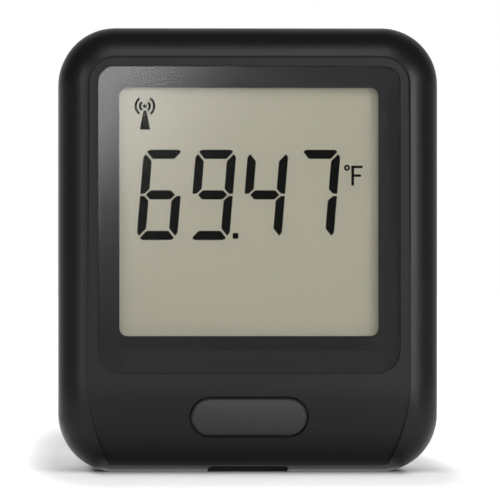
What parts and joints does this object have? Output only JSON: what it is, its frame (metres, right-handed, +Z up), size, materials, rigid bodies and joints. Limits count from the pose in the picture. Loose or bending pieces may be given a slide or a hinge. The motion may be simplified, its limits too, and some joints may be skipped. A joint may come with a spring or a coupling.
{
  "type": "wifi temperature data logger",
  "caption": "Palm-sized black logger with a bullnose rim, a chin that curves back, a segment display behind a window, one wide push button and a keyhole for hanging.",
  "frame": {"origin": "middle of the foot that the logger stands on, halfway through its depth", "axes": "+X to the right as the front is seen, +Y from the front to the rear, +Z up"},
  "size_m": [0.07, 0.023, 0.082],
  "materials": {
    "case_black": "satin ABS with a very fine grain",
    "button_grey": "satin ABS, a shade lighter than the case",
    "window_clear": "clear polished acrylic",
    "border_black": "black print seen through the window",
    "display_glass": "polished float glass",
    "polariser": "grey-green reflective film under an anti-glare face",
    "holder_white": "moulded, natural white",
    "elastomer": "layered silicone",
    "foam_black": "soft closed-cell foam",
    "seal_grey": "moulded silicone",
    "board_green": "solder mask on glass epoxy",
    "radio_blue": "solder mask on glass epoxy",
    "copper": "etched copper under clear lacquer",
    "chip_black": "moulded epoxy",
    "ferrite": "sintered ferrite",
    "ceramic_tan": "fired ceramic",
    "tinned_steel": "tinned sheet",
    "zinc_steel": "bright zinc",
    "switch_black": "moulded nylon",
    "pouch_silver": "satin laminate film",
    "lead_red": "soft PVC",
    "lead_black": "soft PVC",
    "plug_white": "moulded nylon"
  },
  "bodies": {
    "case": {"battery_cell": "pouch_silver", "battery_header": "plug_white", "battery_lead_inner": "lead_red", "battery_lead_outer": "lead_black", "battery_pad": "foam_black", "battery_plug": "plug_white", "battery_protection_board": "board_green", "board_screw_1": "zinc_steel", "board_screw_2": "zinc_steel", "board_screw_3": "zinc_steel", "board_screw_4": "zinc_steel", "button_seal": "seal_grey", "capacitor_1": "ceramic_tan", "capacitor_2": "ceramic_tan", "capacitor_3": "ceramic_tan", "capacitor_4": "ceramic_tan", "case_screw_1": "zinc_steel", "case_screw_2": "zinc_steel", "case_screw_3": "zinc_steel", "case_screw_4": "zinc_steel", "case_seal": "seal_grey", "charger_chip": "chip_black", "crystal": "tinned_steel", "display_window": "window_clear", "dust_gasket": "foam_black", "front_case": "case_black", "inductor": "ferrite", "lcd_connector": "elastomer", "lcd_front_glass": "display_glass", "lcd_front_polariser": "polariser", "lcd_holder": "holder_white", "lcd_rear_glass": "display_glass", "lcd_rear_polariser": "polariser", "main_board": "board_green", "memory_chip": "chip_black", "processor": "chip_black", "rear_case": "case_black", "switch_body": "switch_black", "switch_cover": "tinned_steel", "temperature_sensor": "chip_black", "usb_shell": "tinned_steel", "usb_tongue": "chip_black", "wifi_antenna": "copper", "wifi_board": "radio_blue", "wifi_shield": "tinned_steel", "window_border": "border_black"},
    "button": {"button_cap": "button_grey"},
    "plunger": {"switch_plunger": "switch_black"}
  },
  "joints": [
    {"name": "button_press", "type": "slide", "parent": "case", "child": "button", "axis": [0, 1, 0], "range_m": [0, 0.0005], "stiffness_N_per_m": 2000},
    {"name": "plunger_press", "type": "slide", "parent": "case", "child": "plunger", "axis": [0, 1, 0], "range_m": [0, 0.0005]}
  ],
  "couplings": [
    {"joint": "plunger_press", "follows": "button_press", "ratio": 1}
  ]
}
